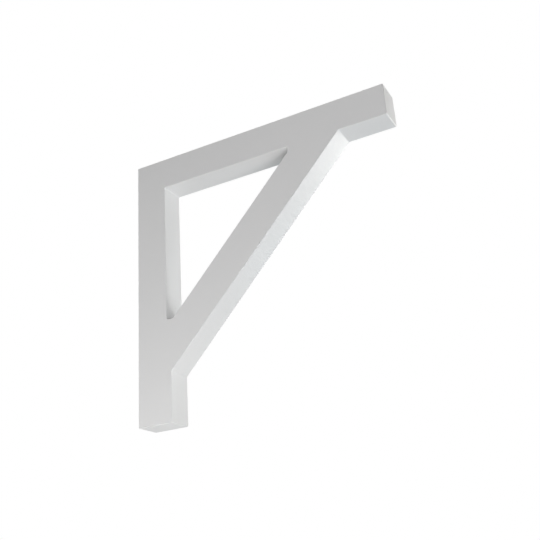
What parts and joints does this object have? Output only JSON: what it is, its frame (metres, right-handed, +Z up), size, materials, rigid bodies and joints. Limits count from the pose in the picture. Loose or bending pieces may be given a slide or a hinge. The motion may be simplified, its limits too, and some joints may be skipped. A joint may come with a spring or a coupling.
{
  "type": "decorative bracket",
  "caption": "Plain right-angled porch bracket: an upright leg, a level arm and a diagonal brace moulded in one white piece around an open triangle.",
  "frame": {"origin": "the middle of the flat face that goes against the wall", "axes": "+X out from the wall along the arm, +Y across the thickness, +Z up"},
  "size_m": [0.914, 0.089, 0.914],
  "materials": {
    "white_plastic": "smooth white moulded plastic with a low satin sheen"
  },
  "bodies": {
    "root": {"bracket": "white_plastic"}
  },
  "joints": []
}
